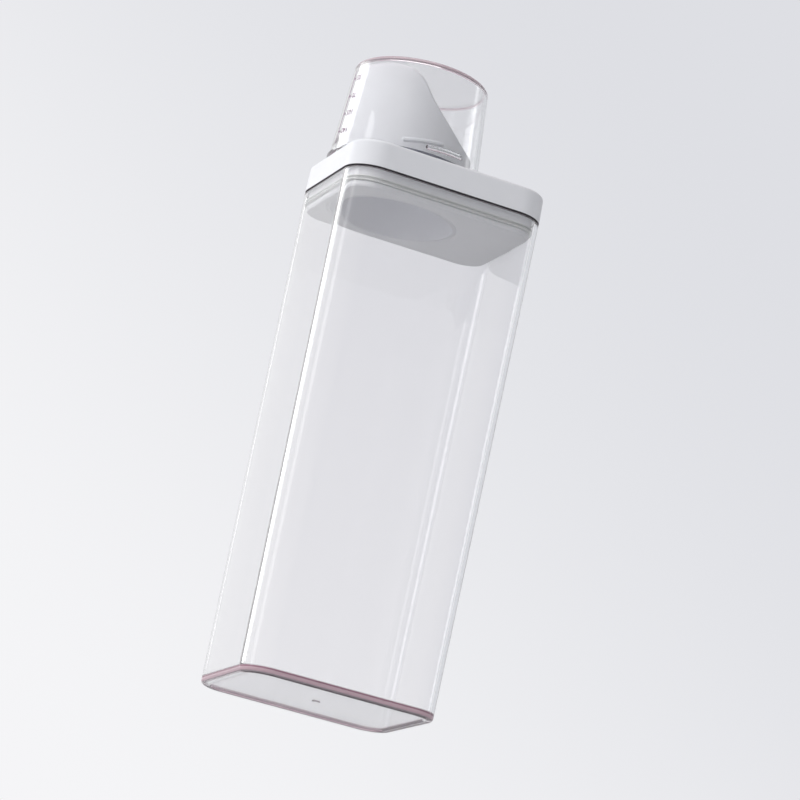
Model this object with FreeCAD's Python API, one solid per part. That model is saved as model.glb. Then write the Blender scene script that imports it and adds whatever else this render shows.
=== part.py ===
import FreeCAD
import Part
import math
import os

# Tall clear canister with a flush lid, a slanted pouring spout and a measuring cup as its cap.
# Millimetres. The origin is the middle of the foot, +Z is up, and the long side runs along X.

# Canister
body_height = 259.5
rim_width = 106.5
rim_depth = 87.0
rim_corner = 16.5
rim_chamfer = 0.4
body_draft = 2.1
foot_round = 2.2
wall = 2.2
floor_top = 3.2
floor_round = 1.4
foot_land = 4.5
foot_recess = 1.0
gate_radius = 2.0
gate_height = 0.5
round_steps = 2

# Lid: the cover sits on the rim with an inner lip, which leaves a shadow gap outside it
lid_gap = 0.1
shadow_gap = 0.5
lip_inset = 0.9
lid_top = 274.3
lid_plate = 2.2
lid_wall = 2.2
lid_draft = 0.3
lid_round = 2.0

# Plug of the liner and its gasket
plug_bottom = 250.2
plug_inset = 3.95
plug_wall = 2.6
plug_plate = 2.0
plug_chamfer = 0.8
liner_flange = 1.5
groove_low = 252.9
groove_high = 255.6
groove_depth = 1.3
fit_gap = 0.1
seal_gap = 0.2
seal_lip = 0.7

# Spout and cup share one upright axis near the left edge of the lid
pour_x = -14.0
bore_radius = 30.8
neck_radius = 32.6
flange_radius = 36.2
flange_height = 2.0
collar_radius = 33.8
collar_hole_gap = 0.3
collar_top = 287.0
spout_top = 323.0
spout_radius = 31.4
spout_wall = 1.8

# Measuring cup, upside down over the spout, with a bead round its mouth
cup_rim = 274.7
cup_top = 325.8
cup_rim_radius = 38.5
cup_end_radius = 34.7
cup_wall = 1.8
cup_round = 2.2
cup_bead = 0.8
cup_bead_height = 1.3

# Silicone ring in the mouth of the cup
ring_low = 275.3
ring_height = 2.0
ring_inner_radius = 34.2
ring_gap = 0.12


def vec(x, y, z):
    return FreeCAD.Vector(x, y, z)


# Closed rounded rectangle round the Z axis at height z.
def outline(width, depth, corner, z):
    run_x = width / 2 - corner
    run_y = depth / 2 - corner
    arcs = []
    for quarter, (sx, sy) in enumerate([(1, 1), (-1, 1), (-1, -1), (1, -1)]):
        points = []
        for step in range(3):
            angle = math.radians(90 * quarter + 45 * step)
            points.append(vec(sx * run_x + corner * math.cos(angle), sy * run_y + corner * math.sin(angle), z))
        arcs.append(points)
    edges = []
    for points, following in zip(arcs, arcs[1:] + arcs[:1]):
        edges.append(Part.Arc(*points).toShape())
        edges.append(Part.LineSegment(points[2], following[0]).toShape())
    return Part.Wire(edges)


# Outline of the lid, which continues the canister's rim, moved in by inset.
def lid_outline(z, inset=0.0):
    return outline(rim_width - 2 * inset, rim_depth - 2 * inset, rim_corner - inset, z)


# Outline of the canister's outer wall at height z, which draws in evenly towards the foot.
def body_outline(z, inset=0.0):
    return lid_outline(z, inset + body_draft * (1 - z / body_height))


# Block between outlines, bottom to top.
def loft(*outlines):
    return Part.makeLoft(list(outlines), True, True)


# Straight block of the lid's outline between two heights.
def lid_block(low, high, inset):
    return loft(lid_outline(low, inset), lid_outline(high, inset))


# Steps round a quarter circle, from the flat end to the upright side, as (inset, rise).
def quarter_round(radius):
    steps = []
    for step in range(round_steps + 1):
        angle = math.radians(90 * step / round_steps)
        steps.append((radius * (1 - math.sin(angle)), radius * (1 - math.cos(angle))))
    return steps


# Drafted block of the canister from a rounded lower edge at height low up to the rim.
def body_block(low, inset, edge_round):
    lower = [body_outline(low + rise, inset + extra) for extra, rise in quarter_round(edge_round)]
    return loft(*lower, body_outline(body_height, inset))


# Edges that lie flat at height z.
def edges_at(shape, z):
    near = 1e-4
    return [e for e in shape.Edges if abs(e.BoundBox.ZMin - z) < near and abs(e.BoundBox.ZMax - z) < near]


def pour_cylinder(radius, low, high):
    return Part.makeCylinder(radius, high - low, vec(pour_x, 0, low))


# Solid of revolution about the pour axis from (radius, height) corners.
def pour_revolve(corners):
    points = [vec(pour_x + radius, 0, z) for radius, z in corners]
    face = Part.Face(Part.makePolygon(points + points[:1]))
    return face.revolve(vec(pour_x, 0, 0), vec(0, 0, 1), 360)


def make_container_body():
    body = body_block(0, 0, foot_round).cut(body_block(floor_top, wall, floor_round))
    body = body.makeChamfer(rim_chamfer, edges_at(body, body_height))
    recess = loft(body_outline(0, foot_land), body_outline(foot_recess, foot_land + foot_recess))
    gate = Part.makeCylinder(gate_radius, gate_height, vec(0, 0, foot_recess - gate_height))
    return body.cut(recess.cut(gate))


def make_lid_cover():
    seat = body_height + lid_gap
    band_low = body_height + shadow_gap
    top_edge = [lid_outline(lid_top - rise, lid_draft + extra) for extra, rise in quarter_round(lid_round)]
    cover = loft(lid_outline(seat), *reversed(top_edge))
    gap_ring = lid_block(seat, band_low, 0).cut(lid_block(seat, band_low, lip_inset))
    inside = lid_block(seat, lid_top - lid_plate, lid_wall)
    hole = pour_cylinder(collar_radius + collar_hole_gap, lid_top - 2 * lid_plate, lid_top)
    return cover.cut(gap_ring).cut(inside).cut(hole)


def make_lid_liner():
    flange_low = body_height + lid_gap
    flange_high = flange_low + liner_flange
    plate_top = plug_bottom + plug_plate
    plug = lid_block(plug_bottom, flange_low, plug_inset)
    plug = plug.makeChamfer(plug_chamfer, edges_at(plug, plug_bottom))
    flange = lid_block(flange_low, flange_high, lid_wall + fit_gap)
    tray = lid_block(plate_top, flange_high, plug_inset + plug_wall)
    groove = lid_block(groove_low, groove_high, plug_inset)
    groove = groove.cut(lid_block(groove_low, groove_high, plug_inset + groove_depth))
    neck_hole = pour_cylinder(neck_radius + fit_gap, plug_bottom, plate_top)
    return plug.fuse(flange).cut(tray).cut(groove).cut(neck_hole).removeSplitter()


# Gasket: a strip in the groove with two lips that reach the canister's inner wall.
def make_lid_seal():
    low = groove_low + fit_gap
    high = groove_high - fit_gap
    root = plug_inset + groove_depth - fit_gap
    tip = wall + seal_gap
    seal = lid_block(low, high, plug_inset)
    for lip_low in (low, high - seal_lip):
        seal = seal.fuse(lid_block(lip_low, lip_low + seal_lip, tip))
    return seal.cut(lid_block(low, high, root)).removeSplitter()


# Region over the spout's mouth: it falls from the tall lip on the left to the rim of the collar.
def mouth_cutter():
    reach = collar_radius + spout_wall
    fall = [(-18.0, spout_top), (-9.5, 317.5), (-1.9, 306.8), (9.1, 296.2), (20.8, 288.4), (27.6, collar_top)]
    points = [vec(pour_x + x, -reach, z) for x, z in fall]
    curve = Part.BSplineCurve()
    curve.interpolate(points)
    over = spout_top + spout_wall
    right = pour_x + reach
    top_left = vec(points[0].x, -reach, over)
    rest = [points[-1], vec(right, -reach, collar_top), vec(right, -reach, over), top_left, points[0]]
    wire = Part.Wire([curve.toShape()] + Part.makePolygon(rest).Edges)
    return Part.Face(wire).extrude(vec(0, 2 * reach, 0))


def make_pour_spout():
    flange_high = lid_top - lid_plate - fit_gap
    flange_low = flange_high - flange_height
    tube = pour_revolve([
        (bore_radius, plug_bottom),
        (neck_radius, plug_bottom),
        (neck_radius, flange_low),
        (flange_radius, flange_low),
        (flange_radius, flange_high),
        (collar_radius, flange_high),
        (spout_radius, spout_top),
        (spout_radius - spout_wall, spout_top),
        (bore_radius, collar_top),
    ])
    return tube.cut(mouth_cutter())


# Radius of the cup's outer wall at height z.
def cup_radius(z):
    share = (z - cup_rim) / (cup_top - cup_rim)
    return cup_rim_radius + (cup_end_radius - cup_rim_radius) * share


# Upper end of the cup at height top, inset from the outer wall, with its rounded edge.
def cup_end(top, inset):
    steps = [(cup_radius(top - rise) - inset - extra, top - rise) for extra, rise in quarter_round(cup_round)]
    return list(reversed(steps)) + [(0, top)]


def make_measuring_cup():
    bead_radius = cup_rim_radius + cup_bead
    bead_top = cup_rim + cup_bead_height
    bead = [(0, cup_rim), (bead_radius, cup_rim), (bead_radius, bead_top), (cup_radius(bead_top), bead_top)]
    mouth = [(0, cup_rim), (cup_rim_radius - cup_wall, cup_rim)]
    outside = pour_revolve(bead + cup_end(cup_top, 0))
    return outside.cut(pour_revolve(mouth + cup_end(cup_top - cup_wall, cup_wall)))


def make_cup_seal():
    ring_high = ring_low + ring_height
    outer_radius = cup_radius(ring_high) - cup_wall - ring_gap
    return pour_cylinder(outer_radius, ring_low, ring_high).cut(pour_cylinder(ring_inner_radius, ring_low, ring_high))


def make_parts():
    return {
        "container_body": make_container_body(),
        "lid_cover": make_lid_cover(),
        "lid_liner": make_lid_liner(),
        "lid_seal": make_lid_seal(),
        "pour_spout": make_pour_spout(),
        "cup_seal": make_cup_seal(),
        "measuring_cup": make_measuring_cup(),
    }


os.makedirs("parts", exist_ok=True)
for name, shape in make_parts().items():
    solid = shape.Solids[0]
    print(name, len(shape.Solids), round(solid.Volume), solid.isValid())
    solid.exportStep("parts/" + name + ".step")
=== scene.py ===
import bpy
import math
import numpy as np
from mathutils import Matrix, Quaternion, Vector


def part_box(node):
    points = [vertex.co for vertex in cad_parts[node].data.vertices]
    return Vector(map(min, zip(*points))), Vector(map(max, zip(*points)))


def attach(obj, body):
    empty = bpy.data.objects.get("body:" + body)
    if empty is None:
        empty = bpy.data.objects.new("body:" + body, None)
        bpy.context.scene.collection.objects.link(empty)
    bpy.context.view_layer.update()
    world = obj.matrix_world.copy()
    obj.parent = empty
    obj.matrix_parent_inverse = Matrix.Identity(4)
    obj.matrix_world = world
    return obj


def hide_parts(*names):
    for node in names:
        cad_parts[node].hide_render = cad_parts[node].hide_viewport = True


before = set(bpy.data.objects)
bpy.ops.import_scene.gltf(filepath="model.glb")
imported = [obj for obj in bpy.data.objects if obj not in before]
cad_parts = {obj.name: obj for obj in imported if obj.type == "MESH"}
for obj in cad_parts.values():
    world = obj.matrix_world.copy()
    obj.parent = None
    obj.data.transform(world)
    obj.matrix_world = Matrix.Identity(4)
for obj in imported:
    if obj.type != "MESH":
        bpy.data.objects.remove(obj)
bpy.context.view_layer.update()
print("frame loaded:", ", ".join(sorted(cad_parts)))

mm = 0.001  # sizes below are in millimetres, Blender's are in metres


# Colours are written as sRGB hex and turned to linear here
def hexColour(text):
    srgb = np.array([int(text[i:i + 2], 16) for i in (1, 3, 5)]) / 255
    linear = np.where(srgb <= 0.04045, srgb / 12.92, ((srgb + 0.055) / 1.055) ** 2.4)
    return (*linear.tolist(), 1.0)


# One node with its settings; an input is a value or the socket that feeds it
def addNode(tree, kind, inputs=None, **settings):
    made = tree.nodes.new("ShaderNode" + kind)
    for name, value in settings.items():
        setattr(made, name, value)
    for name, value in (inputs or {}).items():
        if isinstance(value, bpy.types.NodeSocket):
            tree.links.new(value, made.inputs[name])
        else:
            made.inputs[name].default_value = value
    return made


def emptyMaterial(name):
    material = bpy.data.materials.new(name)
    material.use_nodes = True
    material.node_tree.nodes.clear()
    return material, material.node_tree


# Lowest and highest corner of a CAD node, in millimetres
def nodeSpan(node):
    low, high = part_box(node)
    return np.array(low) / mm, np.array(high) / mm


# Skin over closed rows of points, rows[i, j] being point j of row i. The first and last row join each
# other, or else each is closed by a point in its middle. The sign of the volume turns the faces outwards.
def skinMesh(name, rows, ring=False):
    count, around = rows.shape[:2]
    points = rows.reshape(-1, 3)
    i, j = np.meshgrid(np.arange(count if ring else count - 1), np.arange(around), indexing="ij")
    nextI, nextJ = (i + 1) % count, (j + 1) % around
    corners = [i * around + j, i * around + nextJ, nextI * around + nextJ, nextI * around + j]
    quads = np.stack(corners, -1).reshape(-1, 4)
    fans = np.zeros((0, 3), int)
    if not ring:
        points = np.vstack([points, rows[0].mean(0), rows[-1].mean(0)])
        spot = np.arange(around)
        beside = (spot + 1) % around
        top = (count - 1) * around
        lowFan = np.stack([beside, spot, np.full(around, count * around)], -1)
        highFan = np.stack([top + spot, top + beside, np.full(around, count * around + 1)], -1)
        fans = np.vstack([lowFan, highFan])
    triangles = np.vstack([quads[:, [0, 1, 2]], quads[:, [0, 2, 3]], fans])
    a, b, c = (points[triangles[:, k]] for k in range(3))
    if np.einsum("ij,ij->i", a, np.cross(b, c)).sum() < 0:
        quads, fans = quads[:, ::-1], fans[:, ::-1]
    mesh = bpy.data.meshes.new(name)
    mesh.from_pydata((points * mm).tolist(), [], quads.tolist() + fans.tolist())
    mesh.shade_smooth()
    mesh.update()
    return mesh


# Puts a finished mesh into the scene on its body, in place of its CAD nodes
def placePiece(mesh, material, body, replaced=()):
    mesh.materials.append(material)
    piece = bpy.data.objects.new(mesh.name, mesh)
    bpy.context.scene.collection.objects.link(piece)
    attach(piece, body)
    if replaced:
        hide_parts(*replaced)
    print("piece", piece.name, len(mesh.polygons), "faces on", body)
    return piece


# Line through corners (across, height, radius), each corner rounded by an arc of its radius. Straight runs
# get a point just inside each end, so that smooth shading leaves them flat.
def roundedLine(corners, steps=8, ease=0.12):
    spots = np.array([c[:2] for c in corners], float)
    rounds = [c[2] for c in corners[1:-1]]
    pieces = [spots[:1]]
    for before, spot, after, radius in zip(spots[:-2], spots[1:-1], spots[2:], rounds):
        back, onward = before - spot, after - spot
        back, onward = back / np.linalg.norm(back), onward / np.linalg.norm(onward)
        half = np.arccos(np.clip(back @ onward, -1, 1)) / 2
        start, end = spot + back * radius / np.tan(half), spot + onward * radius / np.tan(half)
        middle = spot + (back + onward) / np.linalg.norm(back + onward) * radius / np.sin(half)
        first = np.arctan2(*(start - middle)[::-1])
        sweep = (np.arctan2(*(end - middle)[::-1]) - first + np.pi) % (2 * np.pi) - np.pi
        angle = first + sweep * np.linspace(0, 1, steps + 1)
        arc = middle + radius * np.stack([np.cos(angle), np.sin(angle)], -1)
        pieces += [start + back * ease, arc, end + onward * ease]
    pieces.append(spots[-1:])
    return np.vstack([np.atleast_2d(p) for p in pieces])


# Perimeter of a rounded rectangle, anticlockwise: a corner turns a quarter about its centre, a side runs
# straight between two centres. An outline is the base plus the outward way times (corner - inset).
rim = {"corner": 16.5, "sideSteps": 44, "cornerSteps": 24, "ease": 0.3}


def rimPerimeter(width, depth):
    turn = np.linspace(0, np.pi / 2, rim["cornerSteps"] + 1)
    along = np.linspace(0, 1, rim["sideSteps"] + 1)[1:-1]
    reach = np.array([width, depth]) / 2 - rim["corner"]
    centres = np.array([[1, 1], [-1, 1], [-1, -1], [1, -1]]) * reach
    base, way = [], []
    for quarter, centre in enumerate(centres):
        angle = turn + quarter * np.pi / 2
        run = centres[(quarter + 1) % 4] - centre
        near = rim["ease"] / np.linalg.norm(run)
        share = np.concatenate([[near], along, [1 - near]])[:, None]
        way += [np.stack([np.cos(angle), np.sin(angle)], -1)]
        way += [np.repeat(way[-1][-1:], len(share), 0)]
        base += [np.repeat(centre[None], len(turn), 0), centre + share * run]
    return np.concatenate(base), np.concatenate(way)


bodyLow, bodyHigh = nodeSpan("container_body")
bodyHeight = bodyHigh[2]
rimBase, rimWay = rimPerimeter(bodyHigh[0] - bodyLow[0], bodyHigh[1] - bodyLow[1])


# Rows of the rim's outline, moved in by inset, at heights z
def outlineRows(inset, z):
    flat = rimBase[None] + rimWay[None] * (rim["corner"] - inset)[:, None, None]
    return np.dstack([flat, np.repeat(z[:, None], len(rimBase), 1)])


# Circles about an upright axis, with their points in line with the outline's, so that a plate can join both
def circleRows(radius, z, axisX):
    bearing = np.arctan2(rimBase[:, 1] + rimWay[:, 1] * 8, rimBase[:, 0] + rimWay[:, 0] * 8 - axisX)
    x = axisX + radius[:, None] * np.cos(bearing)
    y = radius[:, None] * np.sin(bearing)
    return np.dstack([x, y, np.repeat(z[:, None], len(bearing), 1)])


# Canister: from the gate mark under the foot, over the outside and the rim, down the inside to the floor
canister = {
    "draft": 2.1, "wall": 2.2, "footRound": 2.2, "footLand": 4.5, "footRecess": 1.0, "footEdge": 0.3,
    "rimEdge": 0.4, "floorTop": 3.2, "floorRound": 1.4, "gateRadius": 2.0, "gateHeight": 0.5,
}


def canisterMesh():
    c = canister
    gateLow = c["footRecess"] - c["gateHeight"]
    gate = roundedLine([
        (0.6, gateLow, 0),
        (c["gateRadius"], gateLow, 0.15),
        (c["gateRadius"], c["footRecess"], 0.2),
        (c["gateRadius"] + 6, c["footRecess"], 0),
    ], steps=4, ease=0.05)
    section = roundedLine([
        (c["footLand"] + c["footRecess"] + 2, c["footRecess"], 0),
        (c["footLand"] + c["footRecess"], c["footRecess"], c["footEdge"]),
        (c["footLand"], 0, c["footEdge"]),
        (0, 0, c["footRound"]),
        (0, bodyHeight, c["rimEdge"]),
        (c["wall"], bodyHeight, c["rimEdge"]),
        (c["wall"], c["floorTop"], c["floorRound"]),
        (c["wall"] + c["floorRound"] + 4, c["floorTop"], 0),
    ], steps=10)
    drawnIn = c["draft"] * (1 - section[:, 1] / bodyHeight)
    walls = outlineRows(section[:, 0] + drawnIn, section[:, 1])
    return skinMesh("canister_shell", np.vstack([circleRows(gate[:, 0], gate[:, 1], 0), walls]))


# Lid cover: a shallow tray upside down, with a hole for the spout's collar
pourX = (nodeSpan("measuring_cup")[0][0] + nodeSpan("measuring_cup")[1][0]) / 2
lidLow, lidHigh = nodeSpan("lid_cover")
lid = {
    "wall": 2.2, "plate": 2.2, "draft": 0.3, "topRound": 2.0, "lipInset": 1.4, "lipDrop": 0.8, "edge": 0.2,
    "insideRound": 0.8, "holeRadius": 34.1, "holeEdge": 0.35,
}


def lidCoverMesh():
    c = lid
    top = lidHigh[2]
    plateLow = top - c["plate"]
    bandLow = lidLow[2] + c["lipDrop"]
    section = roundedLine([
        (c["wall"] + 1.2, plateLow, 0),
        (c["wall"], plateLow, c["insideRound"]),
        (c["wall"], lidLow[2], c["edge"]),
        (c["lipInset"], lidLow[2], c["edge"] / 2),
        (c["lipInset"], bandLow, c["edge"] / 2),
        (0, bandLow, c["edge"]),
        (c["draft"], top, c["topRound"]),
        (c["draft"] + c["topRound"] + 0.3, top, 0),
    ], steps=10, ease=0.05)
    hole = roundedLine([
        (c["holeRadius"] + 1.0, top, 0),
        (c["holeRadius"], top, c["holeEdge"]),
        (c["holeRadius"], plateLow, c["holeEdge"]),
        (c["holeRadius"] + 1.0, plateLow, 0),
    ], steps=6)
    rows = np.vstack([outlineRows(section[:, 0], section[:, 1]), circleRows(hole[:, 0], hole[:, 1], pourX)])
    return skinMesh("lid_top_cover", rows, ring=True)


# Liner: the plug that goes into the canister, with a gasket groove, a flange on the rim and the neck's hole
linerLow, linerHigh = nodeSpan("lid_liner")
liner = {
    "inset": 3.95, "wall": 2.35, "plate": 2.0, "chamfer": 0.8, "flange": 1.5, "flangeInset": 2.3,
    "grooveLow": 252.9, "grooveHigh": 255.6, "grooveDepth": 1.3, "holeRadius": 32.7, "edge": 0.25,
}


def linerMesh():
    c = liner
    low, high = linerLow[2], linerHigh[2]
    flangeLow = high - c["flange"]
    plateTop = low + c["plate"]
    groove = c["inset"] + c["grooveDepth"]
    section = roundedLine([
        (c["inset"] + c["chamfer"] + 0.8, low, 0),
        (c["inset"] + c["chamfer"], low, c["edge"]),
        (c["inset"], low + c["chamfer"], c["edge"]),
        (c["inset"], c["grooveLow"], c["edge"]),
        (groove, c["grooveLow"], c["edge"] / 2),
        (groove, c["grooveHigh"], c["edge"] / 2),
        (c["inset"], c["grooveHigh"], c["edge"]),
        (c["inset"], flangeLow, c["edge"]),
        (c["flangeInset"], flangeLow, c["edge"]),
        (c["flangeInset"], high, c["edge"]),
        (c["inset"] + c["wall"], high, c["edge"]),
        (c["inset"] + c["wall"], plateTop, 0),
    ], steps=5, ease=0.06)
    hole = roundedLine([
        (c["holeRadius"], plateTop, 0),
        (c["holeRadius"], low, c["edge"]),
        (c["holeRadius"] + 0.5, low, 0),
    ], steps=5, ease=0.06)
    rows = np.vstack([outlineRows(section[:, 0], section[:, 1]), circleRows(hole[:, 0], hole[:, 1], pourX)])
    return skinMesh("lid_plug", rows, ring=True)


# Gasket: a strip in the liner's groove with two soft lips that reach for the wall
sealLow, sealHigh = nodeSpan("lid_seal")
gasket = {"root": 5.15, "waist": 3.95, "tip": 2.4, "lip": 0.7, "tipRound": 0.3}


def gasketMesh():
    c = gasket
    low, high = sealLow[2], sealHigh[2]
    section = roundedLine([
        (c["root"], (low + high) / 2, 0),
        (c["root"], low, 0.2),
        (c["tip"], low, c["tipRound"]),
        (c["tip"], low + c["lip"], c["tipRound"]),
        (c["waist"], low + c["lip"], 0.2),
        (c["waist"], high - c["lip"], 0.2),
        (c["tip"], high - c["lip"], c["tipRound"]),
        (c["tip"], high, c["tipRound"]),
        (c["root"], high, 0.2),
        (c["root"], (low + high) / 2 + 0.1, 0),
    ], steps=6, ease=0.03)
    return skinMesh("lid_gasket", outlineRows(section[:, 0], section[:, 1]), ring=True)


# Turned pieces share the pour axis; their points are a radius and a height at each of these bearings
turnSteps = 600
bearings = np.linspace(0, 2 * np.pi, turnSteps, endpoint=False)


def turnedRows(radius, z):
    radius = np.broadcast_to(radius, (len(radius), turnSteps))
    z = np.broadcast_to(z, (len(z), turnSteps))
    return np.dstack([pourX + radius * np.cos(bearings), radius * np.sin(bearings), z])


# A bead on a turned wall runs from one bearing and height to another, and comes again a few times round it.
# Bearing from the middle of the nearest bead:
def beadOffset(bead):
    pitch = 2 * math.pi / bead["count"]
    middle = math.radians(bead["from"] + bead["to"]) / 2
    return (bearings - middle + pitch / 2) % pitch - pitch / 2


# Climb of a bead at each bearing, falling back evenly to the start of the next, so that rows run along it
def beadClimb(bead):
    half = math.radians(bead["to"] - bead["from"]) / 2
    pitch = 2 * math.pi / bead["count"]
    share = np.interp(beadOffset(bead), [-pitch / 2, -half, half, pitch / 2], [0, -0.5, 0.5, 0])
    return share * (bead["high"] - bead["low"])


# Rise of a bead: a capsule, level on top, whose sides fall smoothly over the soft share of half its width
def beadRise(radius, z, bead):
    run = math.radians(bead["to"] - bead["from"]) * radius
    climb = bead["high"] - bead["low"]
    along = beadOffset(bead) * radius
    up = z - (bead["low"] + bead["high"]) / 2
    share = np.clip((along * run + up * climb) / (run ** 2 + climb ** 2), -0.5, 0.5)
    away = np.hypot(along - share * run, up - share * climb) / (bead["width"] / 2)
    side = np.clip((1 - away) / bead["soft"], 0, 1)
    return bead["rise"] * side ** 2 * (3 - 2 * side)


# Smooth curve through points, by cubic pieces whose slope at a point is that between its neighbours; level
# beyond both ends
def smoothFall(points, x):
    px, pz = np.array(points, float).T
    slope = np.gradient(pz, px)
    slope[-1] = 0
    k = np.clip(np.searchsorted(px, x) - 1, 0, len(px) - 2)
    width = px[k + 1] - px[k]
    t = np.clip((x - px[k]) / width, 0, 1)
    rising = pz[k] * (2 * t ** 3 - 3 * t ** 2 + 1) + pz[k + 1] * (3 * t ** 2 - 2 * t ** 3)
    return rising + width * (slope[k] * (t ** 3 - 2 * t ** 2 + t) + slope[k + 1] * (t ** 3 - t ** 2))


# Spout: a tapered tube whose mouth falls from a tall lip on the left to a collar on the right, with three
# sloping beads that the cup's lugs turn under
spoutLow, spoutHigh = nodeSpan("pour_spout")
spout = {
    "bore": 30.8, "neck": 32.6, "flange": 36.2, "flangeLow": 270.0, "flangeHigh": 272.0, "collar": 33.8,
    "collarTop": 287.0, "top": 31.4, "wall": 1.8, "lipRound": 0.7, "edge": 0.3,
    "wallSteps": 20, "lipSteps": 8,
    "mouth": [
        (-25.0, 323.0), (-21.0, 322.6), (-17.5, 321.7), (-13.0, 319.9), (-9.5, 317.3),
        (-1.9, 306.8), (9.1, 296.2), (20.8, 288.4), (27.6, 287.0),
    ],
    "bead": {"from": -112, "to": -79, "low": 282.0, "high": 284.8, "width": 3.0, "rise": 1.0, "soft": 0.8,
             "count": 3},
}


def spoutOutside(z):
    c = spout
    return c["collar"] + (c["top"] - c["collar"]) * (z - c["flangeHigh"]) / (spoutHigh[2] - c["flangeHigh"])


def spoutInside(z):
    c = spout
    taper = (c["top"] - c["wall"] - c["bore"]) * (z - c["collarTop"]) / (spoutHigh[2] - c["collarTop"])
    return c["bore"] + np.minimum(taper, 0)


# Height of the cut mouth over a tapered wall: radius and height depend on each other and are found in turns
def mouthHeight(wallRadius):
    height = np.full(turnSteps, spout["collarTop"])
    for turn in range(40):
        height = 0.5 * height + 0.5 * smoothFall(spout["mouth"], wallRadius(height) * np.cos(bearings))
    return height


def spoutMesh():
    c = spout
    outerTop, innerTop = mouthHeight(spoutOutside), mouthHeight(spoutInside)
    foot = roundedLine([
        (c["bore"], c["collarTop"] - 2, 0),
        (c["bore"], spoutLow[2], c["edge"]),
        (c["neck"], spoutLow[2], c["edge"]),
        (c["neck"], c["flangeLow"], c["edge"]),
        (c["flange"], c["flangeLow"], c["edge"]),
        (c["flange"], c["flangeHigh"], c["edge"]),
        (c["collar"] + 0.4, c["flangeHigh"], 0),
    ], steps=5)
    beadZ = np.linspace(281.0, 285.7, 50)[:, None] + beadClimb(c["bead"])
    lowZ = np.repeat([[c["flangeHigh"] + 0.05], [274], [277]], turnSteps, 1)
    lowZ = np.vstack([lowZ, beadZ])
    share = np.linspace(0, 1, c["wallSteps"])[1:, None]
    highZ = lowZ[-1] + share * (outerTop - c["lipRound"] - lowZ[-1])
    outsideZ = np.vstack([lowZ, highZ])
    outside = spoutOutside(outsideZ)
    outside = outside + beadRise(outside, outsideZ, c["bead"])
    # lip: outer edge, cut face and inner edge, each row at its own share of the wall's thickness
    angle = np.linspace(0, np.pi / 2, c["lipSteps"] + 1)[:, None]
    outerRadius, innerRadius = spoutOutside(outerTop), spoutInside(innerTop)
    outerEdge = outerRadius - c["lipRound"] * (1 - np.cos(angle))
    innerEdge = innerRadius + c["lipRound"] * (1 - np.sin(angle))
    lipRadius = np.vstack([outerEdge, innerEdge])
    drop = c["lipRound"] * np.vstack([1 - np.sin(angle), 1 - np.cos(angle)])
    lipZ = smoothFall(c["mouth"], lipRadius * np.cos(bearings)) - drop
    insideZ = innerTop - c["lipRound"] + share * (c["collarTop"] - 1.5 - innerTop + c["lipRound"])
    z = [np.repeat(foot[:, 1:], turnSteps, 1), outsideZ, lipZ, insideZ]
    radius = [np.repeat(foot[:, :1], turnSteps, 1), outside, lipRadius, spoutInside(insideZ)]
    return skinMesh("pouring_spout", turnedRows(np.vstack(radius), np.vstack(z)), ring=True)


# Measuring cup, upside down: a tapered clear wall with a bead round its mouth and three lugs on its inside
cupLow, cupHigh = nodeSpan("measuring_cup")
cup = {
    "mouth": 38.5, "end": 34.7, "wall": 1.8, "endRound": 2.2, "beadRadius": 39.3, "beadHeight": 1.3,
    "edge": 0.35, "insideRound": 1.5,
    "lug": {"from": -92, "to": -61, "low": 280.2, "high": 281.75, "width": 3.3, "rise": 1.3, "soft": 0.9,
            "count": 3},
}


def cupOutside(z):
    return cup["mouth"] + (cup["end"] - cup["mouth"]) * (z - cupLow[2]) / (cupHigh[2] - cupLow[2])


def cupMesh():
    c = cup
    low, high = cupLow[2], cupHigh[2]
    beadTop = low + c["beadHeight"]
    insideTop = high - c["wall"]
    outline = roundedLine([
        (c["end"] - c["endRound"] - 4, high, 0),
        (c["end"], high, c["endRound"]),
        (cupOutside(beadTop), beadTop, c["edge"]),
        (c["beadRadius"], beadTop, c["edge"]),
        (c["beadRadius"], low, c["edge"]),
        (cupOutside(low) - c["wall"], low, c["edge"]),
        (cupOutside(low + 2) - c["wall"], low + 2, 0),
    ], steps=7)
    inside = roundedLine([
        (cupOutside(low + 11) - c["wall"], low + 11, 0),
        (cupOutside(insideTop) - c["wall"], insideTop, c["insideRound"]),
        (c["end"] - c["endRound"] - 6, insideTop, 0),
    ], steps=10)
    lugRows = np.linspace(low + 4.3, low + 8.25, 60)[:, None] + beadClimb(c["lug"])
    lugRadius = cupOutside(lugRows) - c["wall"]
    lugRadius = lugRadius - beadRise(lugRadius, lugRows, c["lug"])
    z = [np.repeat(outline[:, 1:], turnSteps, 1), lugRows, np.repeat(inside[:, 1:], turnSteps, 1)]
    radius = [np.repeat(outline[:, :1], turnSteps, 1), lugRadius, np.repeat(inside[:, :1], turnSteps, 1)]
    return skinMesh("measuring_cup_shell", turnedRows(np.vstack(radius), np.vstack(z)))


# Ring in the cup's mouth
ringLow, ringHigh = nodeSpan("cup_seal")
ring = {"inner": 34.2, "edge": 0.6}


def ringMesh():
    low, high = ringLow[2], ringHigh[2]
    outer = ringHigh[0] - pourX
    section = roundedLine([
        (ring["inner"], (low + high) / 2, 0),
        (ring["inner"], low, ring["edge"]),
        (outer, low, ring["edge"]),
        (outer, high, ring["edge"]),
        (ring["inner"], high, ring["edge"]),
        (ring["inner"], (low + high) / 2 + 0.1, 0),
    ], steps=6, ease=0.05)
    return skinMesh("cup_gasket", turnedRows(section[:, :1], section[:, 1:]), ring=True)


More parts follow.
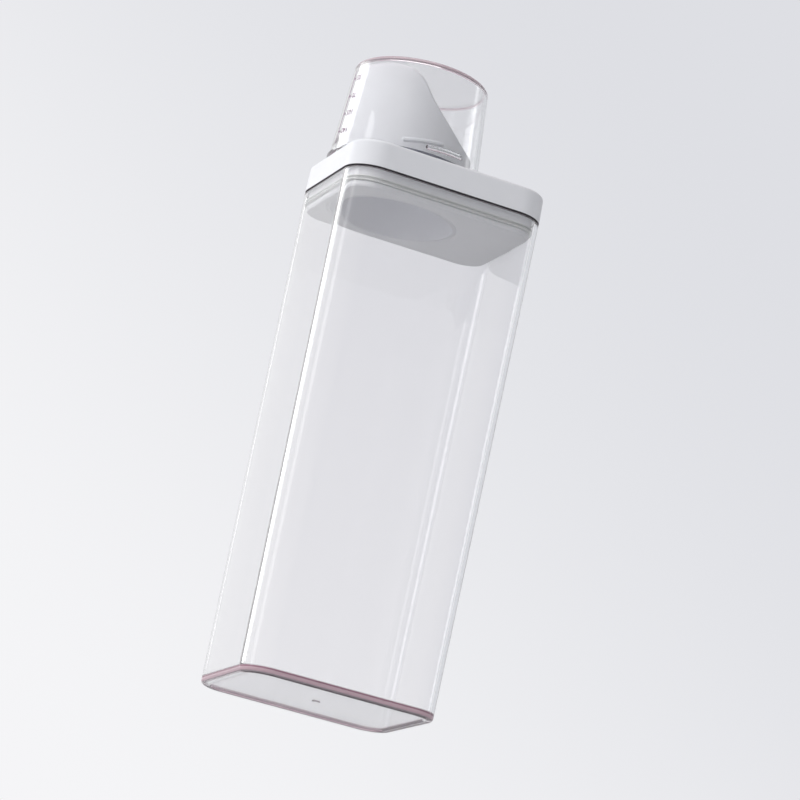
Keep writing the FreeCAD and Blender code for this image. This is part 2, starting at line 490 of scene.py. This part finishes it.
# Printed scale on the cup: an upright line with ticks and numbers, read with the cup's mouth up
scale = {
    "bearing": 179.5, "low": 279.5, "high": 320.5, "line": 0.7, "film": 0.04, "lift": 0.01,
    "tickLength": 2.6, "tickHeights": [315.3, 305.5, 295.6, 285.8], "numbers": ["35", "70", "105", "140"],
    "numberSize": 4.2, "numberBold": 0.06, "numberGap": 1.4,
}


# Lays flat points (along the scale's reading direction, height, thickness) on the cup's wall
def onCup(flat):
    radius = cupOutside(flat[:, 1]) + scale["lift"] + flat[:, 2]
    angle = math.radians(scale["bearing"]) - flat[:, 0] / cupOutside(flat[:, 1])
    return np.stack([pourX + radius * np.cos(angle), radius * np.sin(angle), flat[:, 1]], -1)


# A printed bar: a flat box, cut along its length so that it bends with the wall
def barPoints(left, right, low, high, cuts):
    near = np.array([0, 1, 1, 0])
    thick = np.array([0, 0, 1, 1]) * scale["film"]
    if right - left > high - low:
        rows = [(np.full(4, x), low + near * (high - low), thick) for x in np.linspace(left, right, cuts)]
    else:
        rows = [(left + near * (right - left), np.full(4, z), thick) for z in np.linspace(low, high, cuts)]
    return np.array([onCup(np.stack(row, -1)) for row in rows])


def scaleMesh():
    c = scale
    parts = [skinMesh("bar", barPoints(-c["line"] / 2, c["line"] / 2, c["low"], c["high"], 30))]
    for height, number in zip(c["tickHeights"], c["numbers"]):
        bar = barPoints(-c["tickLength"], 0, height - c["line"] / 2, height + c["line"] / 2, 6)
        parts.append(skinMesh("bar", bar))
        words = bpy.data.curves.new("number", "FONT")
        words.body = number
        words.size = c["numberSize"]
        words.offset = c["numberBold"]
        words.extrude = c["film"] / 2
        words.align_x = "RIGHT"
        words.align_y = "CENTER"
        words.resolution_u = 3
        holder = bpy.data.objects.new("number", words)
        bpy.context.scene.collection.objects.link(holder)
        bpy.context.view_layer.update()
        ready = holder.evaluated_get(bpy.context.evaluated_depsgraph_get())
        mesh = bpy.data.meshes.new_from_object(ready)
        flat = np.zeros(len(mesh.vertices) * 3, np.float32)
        mesh.vertices.foreach_get("co", flat)
        x, y, thick = flat.reshape(-1, 3).astype(float).T
        x = x - c["tickLength"] - c["numberGap"]
        laid = onCup(np.stack([x, height - y, thick + c["film"] / 2], -1))
        mesh.vertices.foreach_set("co", (laid * mm).astype(np.float32).ravel())
        parts.append(mesh)
        bpy.data.objects.remove(holder)
    points, faces = [], []
    for mesh in parts:
        start = sum(len(p) for p in points)
        flat = np.zeros(len(mesh.vertices) * 3, np.float32)
        mesh.vertices.foreach_get("co", flat)
        points.append(flat.reshape(-1, 3))
        faces += [[start + v for v in polygon.vertices] for polygon in mesh.polygons]
    made = bpy.data.meshes.new("cup_scale")
    made.from_pydata(np.vstack(points).tolist(), [], faces)
    made.update()
    return made


# Clear styrene-acrylonitrile, injection moulded: bright gloss, edges that gather a mauve tint from the
# toner, faint flow waves and a few smudges, and a veil of painted reflection and painted shade laid over
# the edges by height
clearPlastic = {
    "colour": "#fdfcfd", "ior": 1.5, "shadow": "#fbfafb", "edgeTint": "#b8789c", "tintDensity": 3.0,
    "haze": "#edc4da", "hazeDensity": 14.0, "waveSize": 30, "waveDepth": 0.008, "smudgeSize": 18,
    "smooth": 0.012, "smudged": 0.05,
}


def clearMaterial(name, look):
    material, tree = emptyMaterial(name)
    spot = addNode(tree, "TexCoord")
    place = spot.outputs["Object"]
    smudge = addNode(tree, "TexNoise", {
        "Vector": place, "Scale": 1 / (look["smudgeSize"] * mm), "Detail": 5.0,
    })
    spread = addNode(tree, "MapRange", {
        "Value": smudge.outputs["Fac"], "From Min": 0.52, "From Max": 0.78,
        "To Min": look["smooth"], "To Max": look["smudged"],
    })
    wave = addNode(tree, "TexNoise", {
        "Vector": place, "Scale": 1 / (look["waveSize"] * mm), "Detail": 1.0,
    })
    bump = addNode(tree, "Bump", {
        "Height": wave.outputs["Fac"], "Strength": 1.0, "Distance": look["waveDepth"] * mm,
    })
    # the veil is painted light: mauve bands of painted reflection and dark bands of painted shade, set by
    # height on upright faces only; where it covers, its colour takes the place of transmission
    height = addNode(tree, "SeparateXYZ", {0: place}).outputs["Z"]
    low, high = look["edge"][0][0], look["edge"][-1][0]
    share = addNode(tree, "MapRange", {"Value": height, "From Min": low * mm, "From Max": high * mm})
    paintedBands = addNode(tree, "ValToRGB", {"Fac": share.outputs["Result"]})
    stops = paintedBands.color_ramp.elements
    for z, tone, weight in look["edge"][1:-1]:
        stops.new((z - low) / (high - low))
    for stop, (z, tone, weight) in zip(stops, look["edge"]):
        stop.color = (*hexColour(tone)[:3], weight)
    facing = addNode(tree, "SeparateXYZ", {0: spot.outputs["Normal"]}).outputs["Z"]
    level = addNode(tree, "Math", {0: facing}, operation="ABSOLUTE")
    upright = addNode(tree, "MapRange", {
        "Value": level.outputs[0], "From Min": 0.75, "From Max": 0.97, "To Min": 1.0, "To Max": 0.0,
    })
    paintedVeil = addNode(tree, "Math", {
        0: paintedBands.outputs["Alpha"], 1: upright.outputs["Result"],
    }, operation="MULTIPLY")
    through = addNode(tree, "Math", {0: 1.0, 1: paintedVeil.outputs[0]}, operation="SUBTRACT")
    colour = addNode(tree, "Mix", {
        0: paintedVeil.outputs[0], 6: hexColour(look["colour"]), 7: paintedBands.outputs["Color"],
    }, data_type="RGBA")
    plastic = addNode(tree, "BsdfPrincipled", {
        "Base Color": colour.outputs[2], "Transmission Weight": through.outputs[0], "IOR": look["ior"],
        "Roughness": spread.outputs["Result"], "Normal": bump.outputs["Normal"],
    })
    clear = addNode(tree, "BsdfTransparent", {"Color": hexColour(look["shadow"])})
    path = addNode(tree, "LightPath")
    surface = addNode(tree, "MixShader", {
        0: path.outputs["Is Shadow Ray"], 1: plastic.outputs[0], 2: clear.outputs[0],
    })
    tint = addNode(tree, "VolumeAbsorption", {
        "Color": hexColour(look["edgeTint"]), "Density": look["tintDensity"],
    })
    haze = addNode(tree, "VolumeScatter", {
        "Color": hexColour(look["haze"]), "Density": look["hazeDensity"],
    })
    inside = addNode(tree, "AddShader", {0: tint.outputs[0], 1: haze.outputs[0]})
    addNode(tree, "OutputMaterial", {"Surface": surface.outputs[0], "Volume": inside.outputs[0]})
    return material


# White polypropylene, moulded in a fine satin tool: soft wide highlights, a hint of grain, and patches that
# are slightly greyer and duller
whitePlastic = {
    "colour": "#eff0f4", "handled": "#e6e7ec", "grainSize": 0.5, "grainDepth": 0.006, "patchSize": 30,
    "satin": 0.34, "worn": 0.44,
}
# The cover's lip lies deep in the seam over the rim; its dark line is painted shade, a dark grey painted
# below the seam's top
coverPaintedSeamShade = {"seamShade": "#4a444a", "seamTop": lidLow[2] + lid["lipDrop"]}


def whiteMaterial(name, look):
    material, tree = emptyMaterial(name)
    place = addNode(tree, "TexCoord").outputs["Object"]
    patch = addNode(tree, "TexNoise", {
        "Vector": place, "Scale": 1 / (look["patchSize"] * mm), "Detail": 4.0,
    })
    grain = addNode(tree, "TexNoise", {
        "Vector": place, "Scale": 1 / (look["grainSize"] * mm), "Detail": 2.0,
    })
    colour = addNode(tree, "Mix", {
        0: patch.outputs["Fac"], 6: hexColour(look["colour"]), 7: hexColour(look["handled"]),
    }, data_type="RGBA")
    rough = addNode(tree, "MapRange", {
        "Value": patch.outputs["Fac"], "From Min": 0.35, "From Max": 0.7,
        "To Min": look["satin"], "To Max": look["worn"],
    })
    bump = addNode(tree, "Bump", {
        "Height": grain.outputs["Fac"], "Strength": 0.6, "Distance": look["grainDepth"] * mm,
    })
    # painted shade: below the seam's top the colour turns to a dark grey, standing in for the seam's shadow
    if "seamShade" in look:
        height = addNode(tree, "SeparateXYZ", {0: place}).outputs["Z"]
        above = addNode(tree, "MapRange", {
            "Value": height, "From Min": look["seamTop"] * mm, "From Max": (look["seamTop"] + 0.12) * mm,
        })
        colour = addNode(tree, "Mix", {
            0: above.outputs["Result"], 6: hexColour(look["seamShade"]), 7: colour.outputs[2],
        }, data_type="RGBA")
    plastic = addNode(tree, "BsdfPrincipled", {
        "Base Color": colour.outputs[2], "Roughness": rough.outputs["Result"], "IOR": 1.49,
        "Normal": bump.outputs["Normal"],
    })
    addNode(tree, "OutputMaterial", {"Surface": plastic.outputs[0]})
    return material


# Translucent silicone: a soft dull white with slow mottling and fine dust on it
silicone = {
    "colour": "#f0f1f0", "handled": "#e2e4e4", "grainSize": 0.9, "grainDepth": 0.02, "patchSize": 8,
    "satin": 0.5, "worn": 0.65,
}
# Grey silicone: as above, but dark, seen through the cup's wall as a thin line
greySilicone = dict(silicone, colour="#626977", handled="#525866")
# Pad-printed ink: a thin mauve film, uneven where it was pressed on
printInk = {
    "colour": "#5c2152", "handled": "#74406b", "grainSize": 0.35, "grainDepth": 0.01, "patchSize": 1.2,
    "satin": 0.4, "worn": 0.6,
}

# The edges of the foot and of the cup's end gather tinted light from the whole wall; that light is painted
# on here as a mauve veil, a painted reflection. Each entry is a height, a colour and how much the veil
# covers there; the foot has two darker lines of painted shade.
canisterPaintedVeil = {"edge": [
    (0.2, "#d9a3b8", 0.1), (0.8, "#3a1828", 0.6), (1.2, "#e8a4bc", 0.55), (2.4, "#e8a4bc", 0.55),
    (2.75, "#7a2850", 0.85), (3.35, "#7a2850", 0.85), (3.7, "#6a3048", 0.0),
]}
cupPaintedVeil = {"edge": [(323.2, "#e2b0c4", 0.0), (324.2, "#e2b0c4", 0.5), (325.8, "#e2b0c4", 0.5)]}
# clear materials carrying the painted veil of reflection and shade
canisterSan = clearMaterial("clear_san_canister", dict(clearPlastic, **canisterPaintedVeil))
cupSan = clearMaterial("clear_san_cup", dict(clearPlastic, tintDensity=6.0, hazeDensity=25.0, **cupPaintedVeil))
whitePp = whiteMaterial("white_polypropylene", whitePlastic)
linerWhite = dict(whitePlastic, colour="#f6f7fa", handled="#f0f1f5")
linerPp = whiteMaterial("white_polypropylene_liner", linerWhite)
coverPp = whiteMaterial("white_polypropylene_cover_seam_shade", dict(whitePlastic, **coverPaintedSeamShade))
sealSilicone = whiteMaterial("silicone", silicone)
ringSilicone = whiteMaterial("grey_silicone", greySilicone)
scaleInk = whiteMaterial("printed_ink", printInk)

placePiece(canisterMesh(), canisterSan, "container", ["container_body"])
placePiece(lidCoverMesh(), coverPp, "lid", ["lid_cover"])
placePiece(linerMesh(), linerPp, "lid", ["lid_liner"])
placePiece(gasketMesh(), sealSilicone, "lid", ["lid_seal"])
placePiece(spoutMesh(), whitePp, "lid", ["pour_spout"])
placePiece(ringMesh(), ringSilicone, "cup_ring", ["cup_seal"])
placePiece(cupMesh(), cupSan, "cup", ["measuring_cup"])
placePiece(scaleMesh(), scaleInk, "cup")

# Camera: low, a little to the left, and turned about its own axis, as the photograph was taken
view = {
    "lens": 165.35, "aim": (8.4, -5.3, 159.0), "azimuth": -18.84, "elevation": -14.57, "distance": 1843.7,
    "roll": 11.97,
}


def makeCamera():
    a, e = math.radians(view["azimuth"]), math.radians(view["elevation"])
    back = Vector((math.sin(a) * math.cos(e), -math.cos(a) * math.cos(e), math.sin(e)))
    data = bpy.data.cameras.new("camera")
    data.lens = view["lens"]
    camera = bpy.data.objects.new("camera", data)
    bpy.context.scene.collection.objects.link(camera)
    camera.location = (Vector(view["aim"]) + back * view["distance"]) * mm
    camera.rotation_mode = "QUATERNION"
    roll = Quaternion((0, 0, 1), math.radians(view["roll"]))
    camera.rotation_quaternion = (-back).to_track_quat("-Z", "Y") @ roll
    bpy.context.scene.camera = camera


# Lamps: strips on the left, behind it and on the right, which draw the bright edges, and a soft box above
lamps = {
    "left": {"at": (-1.3, -0.08, 0.52), "size": (0.25, 0.7), "power": 0.8},
    "rim": {"at": (-0.77, 0.92, 0.56), "size": (0.6, 0.7), "power": 2.8},
    "edge": {"at": (1.2, 0.1, 0.52), "size": (0.2, 0.7), "power": 0.46},
    "top": {"at": (-0.2, 0.0, 1.5), "size": (1.0, 1.0), "power": 4.2},
}


def makeLamps():
    target = Vector((0, 0, 0.16))
    for name, look in lamps.items():
        data = bpy.data.lights.new(name, "AREA")
        data.shape = "RECTANGLE"
        data.energy = look["power"]
        data.size, data.size_y = look["size"]
        lamp = bpy.data.objects.new(name, data)
        bpy.context.scene.collection.objects.link(lamp)
        lamp.location = look["at"]
        lamp.visible_camera = False
        lamp.rotation_mode = "QUATERNION"
        lamp.rotation_quaternion = (target - lamp.location).to_track_quat("-Z", "Y")


# World: soft daylight, stronger from the left, where a window is. The lens, the gloss and the clear walls
# see a pale backdrop instead, which turns mauve overhead and below for the gloss and the walls.
studio = {
    "left": (-0.88, -0.47, 0.15), "dim": 0.02, "bright": 0.78, "from": -0.54,
    "window": (-0.94, -0.30, 0.15), "windowEdge": 0.45, "windowGain": 1.15, "light": "#ffffff",
    "pale": "#f5f5f7", "grey": "#dedfe4", "paleWay": (-0.59, 0.13, -0.80), "fade": (-0.38, -0.12),
    "ceiling": "#cdb3c1", "ceilingFrom": 0.45, "ceilingTo": 0.85,
}


# How far a direction points the given way: their dot product
def towards(tree, way, given):
    dot = addNode(tree, "VectorMath", {0: way, 1: Vector(given).normalized()}, operation="DOT_PRODUCT")
    return dot.outputs["Value"]


def makeWorld():
    world = bpy.data.worlds.new("studio")
    bpy.context.scene.world = world
    world.use_nodes = True
    tree = world.node_tree
    tree.nodes.clear()
    way = addNode(tree, "TexCoord").outputs["Generated"]
    path = addNode(tree, "LightPath")
    strength = addNode(tree, "MapRange", {
        "Value": towards(tree, way, studio["left"]), "From Min": studio["from"], "From Max": 1.0,
        "To Min": studio["dim"], "To Max": studio["bright"],
    })
    glow = addNode(tree, "MapRange", {
        "Value": towards(tree, way, studio["window"]), "From Min": studio["windowEdge"], "From Max": 1.0,
        "To Min": 0.0, "To Max": studio["windowGain"],
    }, interpolation_type="SMOOTHSTEP")
    daylight = addNode(tree, "Math", {
        0: strength.outputs["Result"], 1: glow.outputs["Result"],
    }, operation="ADD")
    light = addNode(tree, "Background", {
        "Color": hexColour(studio["light"]), "Strength": daylight.outputs[0],
    })
    fade = addNode(tree, "MapRange", {
        "Value": towards(tree, way, studio["paleWay"]),
        "From Min": studio["fade"][0], "From Max": studio["fade"][1],
    }, interpolation_type="SMOOTHSTEP")
    backdrop = addNode(tree, "Mix", {
        0: fade.outputs["Result"], 6: hexColour(studio["grey"]), 7: hexColour(studio["pale"]),
    }, data_type="RGBA")
    height = addNode(tree, "SeparateXYZ", {0: way})
    steep = addNode(tree, "Math", {0: height.outputs["Z"]}, operation="ABSOLUTE")
    ceiling = addNode(tree, "MapRange", {
        "Value": steep.outputs[0], "From Min": studio["ceilingFrom"], "From Max": studio["ceilingTo"],
    }, interpolation_type="SMOOTHSTEP")
    room = addNode(tree, "Mix", {
        0: ceiling.outputs["Result"], 6: backdrop.outputs[2], 7: hexColour(studio["ceiling"]),
    }, data_type="RGBA")
    seen = addNode(tree, "Background", {"Color": backdrop.outputs[2], "Strength": 1.0})
    mirrored = addNode(tree, "Background", {"Color": room.outputs[2], "Strength": 1.0})
    shiny = addNode(tree, "Math", {
        0: path.outputs["Is Glossy Ray"], 1: path.outputs["Is Transmission Ray"],
    }, operation="MAXIMUM")
    direct = addNode(tree, "Math", {0: path.outputs["Diffuse Depth"], 1: 0.5}, operation="LESS_THAN")
    shiny = addNode(tree, "Math", {0: shiny.outputs[0], 1: direct.outputs[0]}, operation="MULTIPLY")
    first = addNode(tree, "MixShader", {0: shiny.outputs[0], 1: light.outputs[0], 2: mirrored.outputs[0]})
    last = addNode(tree, "MixShader", {
        0: path.outputs["Is Camera Ray"], 1: first.outputs[0], 2: seen.outputs[0],
    })
    addNode(tree, "OutputWorld", {"Surface": last.outputs[0]})


# Floor: plain pale board, seen from above only, so that a low camera still sees the foot
floorBoard = {"size": 12.0, "height": -0.0004, "colour": "#f4f4f6", "fleck": "#eeeff2", "fleckSize": 60}


def makeFloor():
    half = floorBoard["size"] / 2
    corners = np.array([[-1, -1], [1, -1], [1, 1], [-1, 1]]) * half
    points = np.column_stack([corners, np.full(4, floorBoard["height"])])
    mesh = bpy.data.meshes.new("floor")
    mesh.from_pydata(points.tolist(), [], [[0, 1, 2, 3]])
    floor = bpy.data.objects.new("floor", mesh)
    bpy.context.scene.collection.objects.link(floor)
    material, tree = emptyMaterial("painted_board")
    place = addNode(tree, "TexCoord").outputs["Object"]
    fleck = addNode(tree, "TexNoise", {
        "Vector": place, "Scale": 1 / (floorBoard["fleckSize"] * mm), "Detail": 4.0,
    })
    colour = addNode(tree, "Mix", {
        0: fleck.outputs["Fac"], 6: hexColour(floorBoard["colour"]), 7: hexColour(floorBoard["fleck"]),
    }, data_type="RGBA")
    paint = addNode(tree, "BsdfDiffuse", {"Color": colour.outputs[2], "Roughness": 0.6})
    clear = addNode(tree, "BsdfTransparent")
    under = addNode(tree, "NewGeometry").outputs["Backfacing"]
    surface = addNode(tree, "MixShader", {0: under, 1: paint.outputs[0], 2: clear.outputs[0]})
    addNode(tree, "OutputMaterial", {"Surface": surface.outputs[0]})
    mesh.materials.append(material)


makeCamera()
makeLamps()
makeWorld()
makeFloor()
bpy.context.scene.view_settings.view_transform = "Standard"
print("stage set")
